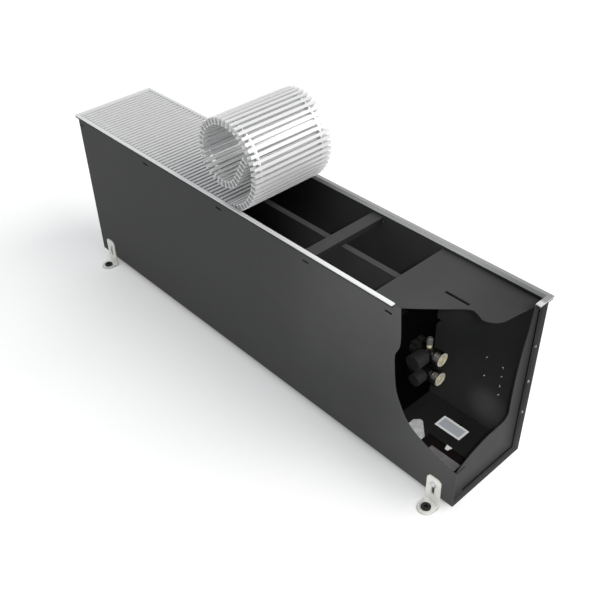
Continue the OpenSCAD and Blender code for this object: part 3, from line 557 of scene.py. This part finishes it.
def anodised(name, grey, along, roughness, metallic=1.0, top=None):
    """Extruded aluminium; top gives the factor of painted shade on an upper face."""
    metal = recipe_for(name)
    lines = grain(metal, DIE_LINES_PER_METRE, along)
    satin = weigh(lines, grain(metal, SATIN_PER_METRE), SATIN_SHARE)
    tint = mottled(metal, lines, grey, ALUMINIUM_TONES)
    if top:
        factor = between(metal, axis_of(metal, "Z") > TRIM_TOP_Z, 1.0, top(metal))
        tint = blend_colours(metal, factor, BLACK, tint)
    rough = rough_about(metal, satin, roughness, ALUMINIUM_ROUGH_SWING)
    metal.set(Base_Color=tint, Roughness=rough, Normal=relief(metal, lines, DIE_LINE_DEPTH))
    return metal.set(Metallic=metallic)


trim_long_metal = anodised("trim_along", (0.72, 0.72, 0.72), ALONG_X, 0.38, 0.35)
trim_end_metal = anodised("trim_across", (0.72, 0.72, 0.72), ALONG_Y, 0.38, 0.35)
# painted shade: the far and right trims are darker, less metallic copies of the trim
trim_far_shaded_metal = anodised("trim_far_side", (0.66, 0.66, 0.66), ALONG_X, 0.45, 0.2, top=far_top_shade)
trim_right_shaded_metal = anodised("trim_right_side", (0.7, 0.7, 0.7), ALONG_Y, 0.45, 0.2, top=right_top_shade)
grille_metal = anodised("grille_bars", (0.66, 0.66, 0.66), ALONG_Y, 0.45, 0.15)
# painted light: the rolled bars are a brighter, glossier copy of the grille bars
roll_lit_metal = anodised("rolled_bars_lit", (0.74, 0.74, 0.74), ALONG_Y, 0.34, 0.15)
sleeve_metal = anodised("grille_sleeves", (0.86, 0.86, 0.87), ALONG_X, 0.25)
print("recipes so far:", Recipe.made)

# %% [markdown]
# ## Galvanised sheet
# Hot-dip zinc shows a spangle of crystals. Noise would give clouds, while a Voronoi pattern gives
# one grey to each crystal with a straight border, as the real ones have.

# %% Galvanised sheet
SPANGLE_PER_METRE = 160
SPANGLE_TONES = (0.82, 1.12)
SPANGLE_ROUGH = (0.34, 0.52)
ZINC_GRAIN_PER_METRE = 1500
ZINC_GRAIN_SHARE = 0.3
ZINC_GRAIN_DEPTH = 0.02 * MM


def galvanised(name, colour, metallic):
    zinc = recipe_for(name)
    sockets = {"Vector": place(zinc), "Scale": SPANGLE_PER_METRE}
    crystal = zinc.add("ShaderNodeTexVoronoi", {"feature": "F1"}, sockets, out="Color")
    grey = zinc.add("ShaderNodeRGBToBW", None, {0: crystal})
    fine = grain(zinc, ZINC_GRAIN_PER_METRE, detail=2)
    rough = between(zinc, weigh(grey, fine, ZINC_GRAIN_SHARE), *SPANGLE_ROUGH)
    zinc.set(Base_Color=mottled(zinc, grey, colour, SPANGLE_TONES), Roughness=rough,
             Normal=relief(zinc, fine, ZINC_GRAIN_DEPTH))
    return zinc.set(Metallic=metallic)


galvanised_sheet = galvanised("galvanised_sheet", (0.82, 0.82, 0.84), 0.25)
slot_cover_metal = galvanised("slot_cover_sheet", (0.30, 0.29, 0.30), 0.4)
print("recipes so far:", Recipe.made)

# %% [markdown]
# ## Plated and turned metal
# Plated zinc, nickel and brass are turned or drawn and only need a fine uneven grain, while the
# copper tube also darkens in patches where it has been handled. The pipe unions' nickel barrels are
# painted almost black as painted shade, while their cut faces keep a bright colour, so one recipe
# changes colour at the face. The darker end screws and the near-black tail nuts are painted shade
# too.

# %% Plated and turned metal
TURNED_PER_METRE = 700
TURNED_DEPTH = 0.02 * MM
PATCHES_PER_METRE = 60
PATCH_RANGE = (0.35, 0.65)
PATCH_SHARE = 0.5
CLEAN_TONE = 1.05
PLATED_ROUGH_SWING = (-0.06, 0.1)
UNION_FACE_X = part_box("flow_valve_body")[1].x - 0.8 * MM
UNION_FACE_METALLIC = 0.2


def plated(name, colour, roughness, metallic=1.0, dirt=0.85, face=None):
    """Plated or turned metal; dirt is its darkest tone, and face the colour of a union's end."""
    metal = recipe_for(name)
    fine = grain(metal, TURNED_PER_METRE)
    patches = grain(metal, PATCHES_PER_METRE)
    clean = between(metal, patches, 0, 1, *PATCH_RANGE)
    tint = mottled(metal, clean, colour, (dirt, CLEAN_TONE))
    if face:
        cut = axis_of(metal, "X") > UNION_FACE_X
        tint = blend_colours(metal, cut, tint, face)
        metallic = between(metal, cut, metallic, UNION_FACE_METALLIC)
    rough = rough_about(metal, weigh(fine, patches, PATCH_SHARE), roughness, PLATED_ROUGH_SWING)
    metal.set(Base_Color=tint, Roughness=rough, Normal=relief(metal, fine, TURNED_DEPTH))
    return metal.set(Metallic=metallic)


zinc_screws = plated("zinc_screws", (0.72, 0.72, 0.73), 0.3)
foot_zinc = plated("foot_zinc", (0.95, 0.94, 0.88), 0.42, metallic=0.1, dirt=0.93)
# painted shade: a darker copy of the zinc screws, for the screws in the case's ends
shaded_end_screws = plated("shaded_end_screws", (0.30, 0.30, 0.31), 0.4, metallic=0.6)
copper_metal = plated("copper_tube", (0.72, 0.36, 0.22), 0.3, dirt=0.7)
fin_metal = plated("fin_aluminium", (0.80, 0.81, 0.83), 0.32)
# painted shade: the union barrels are painted almost black, while the cut face keeps a bright colour
nickel_shaded_metal = plated("nickel_brass", (0.11, 0.107, 0.097), 0.3, face=(0.80, 0.77, 0.64))
# painted shade: the tail nuts' near-black colour
shaded_tail_nut = plated("shaded_tail_nut", (0.016, 0.015, 0.013), 0.5, metallic=0.3)
brass_metal = plated("plug_brass", (0.74, 0.69, 0.46), 0.36, metallic=0.2)
pin_metal = plated("pin_steel", (0.62, 0.62, 0.64), 0.2)
print("recipes so far:", Recipe.made)

# %% [markdown]
# ## Plastic and rubber
# The valve caps are black moulded plastic with a fine eroded grain, the vent knob is grey, and the
# clip white. Rubber is blacker still and has almost no gloss. One recipe serves all four, because
# they differ only in colour, gloss and the size of their grain.

# %% Plastic and rubber
PLASTIC_TONES = (0.9, 1.1)
PLASTIC_ROUGH_SWING = (-0.05, 0.08)


def moulded(name, colour, roughness, spots=1800, depth=0.04 * MM):
    plastic = recipe_for(name)
    fine = grain(plastic, spots, detail=2)
    rough = rough_about(plastic, fine, roughness, PLASTIC_ROUGH_SWING, (0, 1))
    return plastic.set(Base_Color=mottled(plastic, fine, colour, PLASTIC_TONES), Roughness=rough,
                       Normal=relief(plastic, fine, depth))


cap_plastic = moulded("cap_plastic", (0.02, 0.02, 0.021), 0.4)
vent_plastic = moulded("vent_plastic", (0.13, 0.135, 0.125), 0.4)
clip_plastic = moulded("clip_plastic", (0.88, 0.88, 0.87), 0.3)
# black rubber also colours the edge seals under the trims' overhang; their black partly stands in as
# painted shade there
black_rubber = moulded("black_rubber", (0.012, 0.012, 0.012), 0.75, 900, 0.1 * MM)
print("recipes so far:", Recipe.made)

# %% [markdown]
# ## The blank rating plate
# A thin plate lies on the chamber floor. It is blank, so it has only a white border round a silver
# field. The border is a sum on the surface's own place: how far the point is from the plate's
# middle, on each axis, against the plate's half size less the border.

# %% The blank rating plate
PLATE_BORDER = 4.5 * MM
BORDER_WHITE = (0.98, 0.98, 0.98)
SILVER_TONES = ((0.56, 0.60, 0.64), (0.66, 0.70, 0.74))
SILVER_METALLIC = 0.15
PLATE_ROUGH = (0.35, 0.28)
FOIL_PER_METRE = 2500
FOIL_RELIEF = 0.3
BORDER_HEIGHT = 0.05 * MM
plate_low, plate_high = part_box("blank_rating_plate")
plate_middle = (plate_low + plate_high) / 2
plate_half = (plate_high - plate_low) / 2


def printed_plate():
    plate = recipe_for("printed_plate")
    inside = [distance_from(plate, "XY"[k], plate_middle[k]) < plate_half[k] - PLATE_BORDER
              for k in (0, 1)]
    field = inside[0] * inside[1]
    fine = grain(plate, FOIL_PER_METRE, ALONG_X, detail=2)
    tint = blend_colours(plate, field, BORDER_WHITE, blend_colours(plate, fine, *SILVER_TONES))
    plate.set(Base_Color=tint, Metallic=field * SILVER_METALLIC)
    return plate.set(Roughness=between(plate, field, *PLATE_ROUGH),
                     Normal=relief(plate, fine * FOIL_RELIEF - field, BORDER_HEIGHT))


plate_metal = printed_plate()
print("rating plate in mm:", [round(v / MM, 1) for v in plate_half * 2])

# %% [markdown]
# ## A finish for every piece of the frame
# The record names a material slot for each piece. This table says which finish each slot gets, and
# the pieces that differ from their slot, such as the end trims, whose die lines run across.

# %% Finishes on the frame
FINISH_OF_SLOT = {
    "case_paint": case_paint, "cover_paint": cover_paint, "chassis_paint": chassis_paint,
    "trim_aluminium": trim_long_metal, "grille_aluminium": grille_metal,
    "sleeve_aluminium": sleeve_metal, "black_rubber": black_rubber,
    "galvanised_sheet": galvanised_sheet, "zinc_screws": zinc_screws, "foot_zinc": foot_zinc,
    "copper_tube": copper_metal, "fin_aluminium": fin_metal, "nickel_brass": nickel_shaded_metal,
    "plug_brass": brass_metal, "pin_steel": pin_metal, "cap_plastic": cap_plastic,
    "vent_plastic": vent_plastic, "plate_aluminium": plate_metal, "clip_plastic": clip_plastic,
}
FINISH_OF_PIECE = {
    "trim_left": trim_end_metal, "trim_right": trim_right_shaded_metal, "trim_far": trim_far_shaded_metal,
    "slot_cover": slot_cover_metal, "crossbars": crossbar_paint, "grille_roll_bars": roll_lit_metal,
    "partition_lower": shade_black_paint, "partition_upper": shade_black_paint, "cover_ledge_near": shade_black_paint,
}


def wear(thing, finish):
    """Puts one finish on every material slot of an object."""
    if not thing.material_slots:
        thing.data.materials.append(None)
    for slot in thing.material_slots:
        slot.link = "OBJECT"
        slot.material = finish


for part in frame["record"]["subparts"]:
    slot_finish = FINISH_OF_SLOT[part["material_slot"]]
    wear(frame["nodes"][part["node"]], FINISH_OF_PIECE.get(part["node"], slot_finish))

# %% [markdown]
# ## Soft edges
# No sheared, extruded or moulded edge is a perfect corner, and the eye looks for the thin line of
# light that a small round catches. It could be modelled in the frame, but a Bevel modifier adds it
# without touching the frame's own points.

# %% Soft edges
EDGE_ANGLE = math.radians(35)
EDGE_STEPS = 2
EDGE_RADIUS = {
    "trim_near": 0.5, "trim_far": 0.5, "trim_left": 0.5, "trim_right": 0.5,
    "grille_flat_bars": 0.35, "grille_roll_bars": 0.35, "cover_plate": 0.4, "crossbars": 0.6,
    "air_guide": 0.3, "floor_plate": 0.4, "slot_cover": 0.4, "blank_rating_plate": 0.15,
    "slot_clip": 0.4, "flow_cap": 0.5, "return_cap": 0.5, "vent_knob": 0.4,
    "flow_valve_body": 0.5, "return_valve_body": 0.5,
    "flow_blank_plug": 0.4, "return_blank_plug": 0.4,
    "foot_near_left": 0.5, "foot_near_right": 0.5, "foot_far_left": 0.5, "foot_far_right": 0.5,
}


def soften(thing, radius_mm):
    bevel = thing.modifiers.new("soft_edge", "BEVEL")
    bevel.width = radius_mm * MM
    bevel.segments = EDGE_STEPS
    bevel.limit_method = "ANGLE"
    bevel.angle_limit = EDGE_ANGLE


for name, radius_mm in EDGE_RADIUS.items():
    soften(frame["nodes"][name], radius_mm)
print("softened pieces:", len(EDGE_RADIUS))

# %% [markdown]
# ## Finding the copies inside one solid
# A row of screws comes as one solid with several separate bodies. To model each again where it
# stands, the script groups the mesh's points by their edges and takes the box of every group, so
# no place is typed in twice.

# %% The boxes of separate bodies


def separate_boxes(node):
    """Low and high corners of each unconnected body in a piece of the frame."""
    mesh = frame["nodes"][node].data
    leader = list(range(len(mesh.vertices)))

    def find(i):
        while leader[i] != i:
            leader[i] = leader[leader[i]]
            i = leader[i]
        return i

    for edge in mesh.edges:
        first, second = (find(i) for i in edge.vertices)
        leader[max(first, second)] = min(first, second)
    groups = {}
    for i, point in enumerate(mesh.vertices):
        groups.setdefault(find(i), []).append(point.co)
    return [tuple(Vector(f(p[k] for p in points) for k in range(3)) for f in (min, max))
            for _, points in sorted(groups.items())]


print("screws in the left end:", len(separate_boxes("end_screws_left")))

# %% [markdown]
# ## Skins from rings
# Screws, nuts and threads are all stacks of rings: points round an axis, joined to the next ring
# by quads. One function lays the skin over a list of rings, and each piece only says how far its
# points stand from the axis and how high.

# %% A skin over rings
ROUND_STEPS = 48


def axis_frame(middle, axis):
    """A matrix that stands local Z along an axis at a place."""
    return Matrix.Translation(middle) @ Vector(axis).to_track_quat("Z", "X").to_matrix().to_4x4()


def lay_skin(mesh, rings, stand=Matrix.Identity(4), closed=False):
    """Quads between neighbouring rings, with a cap on both ends or a join back to the first."""
    rows = [[mesh.verts.new(stand @ Vector(point)) for point in ring] for ring in rings]
    pairs = list(zip(rows, rows[1:])) + ([(rows[-1], rows[0])] if closed else [])
    for lower, upper in pairs:
        for i in range(len(lower)):
            j = (i + 1) % len(lower)
            mesh.faces.new((lower[i], lower[j], upper[j], upper[i]))
    if not closed:
        mesh.faces.new(reversed(rows[0]))
        mesh.faces.new(rows[-1])


def round_ring(reach, height):
    """Points round the axis, where reach and height may each be a number or a function."""
    points = []
    for i in range(ROUND_STEPS):
        angle = 2 * math.pi * i / ROUND_STEPS
        r = reach(angle) if callable(reach) else reach
        z = height(r, angle) if callable(height) else height
        points.append((r * math.cos(angle), r * math.sin(angle), z))
    return points


def finish_piece(name, mesh, finish, body, nodes=()):
    """Turns built points into a piece that rides on a body and may stand for frame pieces."""
    bmesh.ops.recalc_face_normals(mesh, faces=mesh.faces[:])
    data = bpy.data.meshes.new(name)
    mesh.to_mesh(data)
    mesh.free()
    piece = bpy.data.objects.new(name, data)
    bpy.context.scene.collection.objects.link(piece)
    data.materials.append(finish)
    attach(piece, body)
    if nodes:
        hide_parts(*nodes)
    print(name, "faces:", len(data.polygons))


print("points in a ring:", ROUND_STEPS)

# %% [markdown]
# ## Pan head screws
# The screws of the case are pressed pan heads with a cross recess. A Boolean cut would leave long
# thin faces, so the head is a fine polar net, and the net's points that fall inside the cross are
# simply set lower.

# %% Pan head screws
RECESS_WIDTH = 0.22
RECESS_REACH = 0.62
RECESS_DEPTH = 0.55
HEAD_RINGS = 16
HEAD_RIM = 0.25
HEAD_UNDERSIDE = 0.97
HEAD_EDGE = 0.1 * MM
TIP_RADIUS = 0.8
TIP_FROM = 0.9
END_SCREW = (3 * MM, 2 * MM, 2 * MM)
FOOT_SCREW = (6 * MM, 3 * MM, 3 * MM)


def head_height(radius, thick):
    """Height over the seat of a pan head's top, with the cross pressed into it."""

    def height(r, angle):
        share = min(r / radius, 1)
        dome = HEAD_RIM + (1 - HEAD_RIM) * (1 - share ** 3)
        across = min(abs(math.cos(angle)), abs(math.sin(angle))) * share
        pressed = across < RECESS_WIDTH / 2 and share < RECESS_REACH
        return thick * (dome - (RECESS_DEPTH if pressed else 0))

    return height


def pan_screw(mesh, seat, axis, sizes, shank_length):
    """A screw whose head stands on the seat and points along the axis."""
    head_radius, head_thick, shank_radius = sizes
    top = head_height(head_radius, head_thick)
    rings = [round_ring(shank_radius * TIP_RADIUS, -shank_length),
             round_ring(shank_radius, -shank_length * TIP_FROM),
             round_ring(shank_radius, 0),
             round_ring(head_radius * HEAD_UNDERSIDE, 0),
             round_ring(head_radius, HEAD_EDGE)]
    rings += [round_ring(head_radius * (1 - i / HEAD_RINGS), top) for i in range(HEAD_RINGS)]
    lay_skin(mesh, rings, axis_frame(seat, axis))


def screws_again(node, axis_index, sizes, finish):
    """Models every screw of a frame piece again; each head points out of the case."""
    mesh = bmesh.new()
    head_thick = sizes[1]
    for low, high in separate_boxes(node):
        middle = (low + high) / 2
        axis = Vector((0, 0, 0))
        axis[axis_index] = 1 if middle[axis_index] > 0 else -1
        length = high[axis_index] - low[axis_index]
        seat = middle + axis * (length / 2 - head_thick)
        pan_screw(mesh, seat, axis, sizes, length - head_thick)
    finish_piece("pan_" + node, mesh, finish, "case", (node,))


screws_again("end_screws_left", 0, END_SCREW, shaded_end_screws)
screws_again("end_screws_right", 0, END_SCREW, shaded_end_screws)
screws_again("foot_screws", 1, FOOT_SCREW, zinc_screws)

# %% [markdown]
# ## Chamfered nuts
# A turned nut is a hexagon that a cone has cut at both ends, which leaves the curved corners that
# tell a real nut from a prism. Each ring takes the smaller of two reaches: the hexagon's flats and
# the cone's circle at that height.

# %% Chamfered nuts
NUT_CORNER = 30
NUT_FACE = 0.97
CHAMFER_SHARE = 0.6
BORE_EDGE = 0.4 * MM
TAIL_BORE_RADIUS = 7.6 * MM


def hex_reach(flat_half, limit):
    """Distance from the axis to a hexagon's flats, cut off at a circle."""

    def reach(angle):
        lean = math.radians(math.degrees(angle) % 60 - NUT_CORNER)
        return min(flat_half / math.cos(lean), limit)

    return reach


def chamfered_nut(mesh, seat, corner_radius, length):
    """A nut that stands on its seat and points to the right end."""
    flat_half = corner_radius * math.cos(math.radians(NUT_CORNER))
    chamfer = (corner_radius - flat_half) * CHAMFER_SHARE
    face, body = hex_reach(flat_half, NUT_FACE * flat_half), hex_reach(flat_half, corner_radius)
    outer = [round_ring(face, 0), round_ring(body, chamfer),
             round_ring(body, length - chamfer), round_ring(face, length)]
    inner = [round_ring(TAIL_BORE_RADIUS + BORE_EDGE, length),
             round_ring(TAIL_BORE_RADIUS, length - BORE_EDGE),
             round_ring(TAIL_BORE_RADIUS, BORE_EDGE),
             round_ring(TAIL_BORE_RADIUS + BORE_EDGE, 0)]
    lay_skin(mesh, outer + inner, axis_frame(seat, (1, 0, 0)), closed=True)


def nut_again(node):
    """Models a tail nut of the frame again in its own box."""
    mesh = bmesh.new()
    for low, high in separate_boxes(node):
        seat = (low + high) / 2
        seat.x = low.x
        corner_radius = max(high.y - low.y, high.z - low.z) / 2
        chamfered_nut(mesh, seat, corner_radius, high.x - low.x)
    finish_piece("turned_" + node, mesh, shaded_tail_nut, "case", (node,))


for valve in ("flow", "return"):
    nut_again(valve + "_tail_nut")

# %% [markdown]
# ## Threads on the pipe unions
# Both pipe ends carry the outside thread that the installer's nut goes onto. A thread is one
# triangle swept along a helix, so rings of three points climb the barrel and shrink away at both
# ends, where a real thread runs out.

# %% Union threads
UNION_LENGTH = 15 * MM
UNION_RADIUS = 13.2 * MM
THREAD_PITCH = 1.81 * MM
THREAD_HEIGHT = 0.45 * MM
THREAD_STEPS = 40
THREAD_MARGIN = 1.2 * MM
THREAD_HALF = 0.45
THREAD_ROOT = -0.2
THREAD_CREST_LEFT = 0.02


def union_thread(valve):
    """A helix of thread round the outer end of a valve's union barrel."""
    plug_low, plug_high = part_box(valve + "_blank_plug")
    start = (plug_low + plug_high) / 2
    start.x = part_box(valve + "_valve_body")[1].x - UNION_LENGTH + THREAD_MARGIN
    turns = (UNION_LENGTH - 2 * THREAD_MARGIN) / THREAD_PITCH
    count = round(turns * THREAD_STEPS)
    mesh = bmesh.new()
    rings = []
    for i in range(count + 1):
        angle = 2 * math.pi * i / THREAD_STEPS
        along = THREAD_PITCH * i / THREAD_STEPS
        run_out = min(1, i / THREAD_STEPS * 2, (count - i) / THREAD_STEPS * 2)
        crest = run_out + THREAD_CREST_LEFT
        profile = [(-THREAD_HALF, THREAD_ROOT), (0, crest), (THREAD_HALF, THREAD_ROOT)]
        points = [(UNION_RADIUS + THREAD_HEIGHT * up, along + THREAD_PITCH * side)
                  for side, up in profile]
        rings.append([(r * math.cos(angle), r * math.sin(angle), z) for r, z in points])
    lay_skin(mesh, rings, axis_frame(start, (1, 0, 0)))
    finish_piece(valve + "_union_thread", mesh, nickel_shaded_metal, "case")


for valve in ("flow", "return"):
    union_thread(valve)

# %% [markdown]
# ## Bare bridges of the knock-outs
# Two round knock-outs in the far wall hang on narrow bridges. The press leaves bare steel standing
# a little proud there, which is all that shows of them inside the dark chamber. Bright paint on the
# wall would look flat from the side, so each bridge is a small pillow: rings that shrink towards
# the top, longer along the knock-out's edge than across it.

# %% Knock-out bridges
KNOCK_MIDDLE_X = 463 * MM
KNOCK_MIDDLE_Z = (132 * MM, 176 * MM)
KNOCK_RADIUS = 20.8 * MM
BRIDGE_ANGLES = (30, -30, 142)
BRIDGE_HALF = (1.0 * MM, 2.6 * MM)
BRIDGE_HEIGHT = 0.5 * MM
BRIDGE_RINGS = ((1, -0.4), (1, 0.3), (0.8, 0.75), (0.4, 1))
BRIDGE_STEPS = 16
FAR_WALL_Y = TROUGH_HIGH.y - 1.5 * MM


def bridge(mesh, middle_z, degrees):
    """One pillow of bare steel on the far wall, at an angle round its knock-out."""
    angle = math.radians(degrees)
    outward = Vector((math.cos(angle), 0, math.sin(angle)))
    along = Vector((-math.sin(angle), 0, math.cos(angle)))
    middle = Vector((KNOCK_MIDDLE_X, FAR_WALL_Y, middle_z)) + outward * KNOCK_RADIUS
    rings = []
    for share, up in BRIDGE_RINGS:
        ring = []
        for i in range(BRIDGE_STEPS):
            step = 2 * math.pi * i / BRIDGE_STEPS
            flat = outward * (BRIDGE_HALF[0] * share * math.cos(step))
            flat += along * (BRIDGE_HALF[1] * share * math.sin(step))
            ring.append(middle + flat + Vector((0, -BRIDGE_HEIGHT * up, 0)))
        rings.append(ring)
    lay_skin(mesh, rings)


bridge_mesh = bmesh.new()
for middle_z in KNOCK_MIDDLE_Z:
    for degrees in BRIDGE_ANGLES:
        bridge(bridge_mesh, middle_z, degrees)
finish_piece("knock_out_bridges", bridge_mesh, galvanised_sheet, "case")
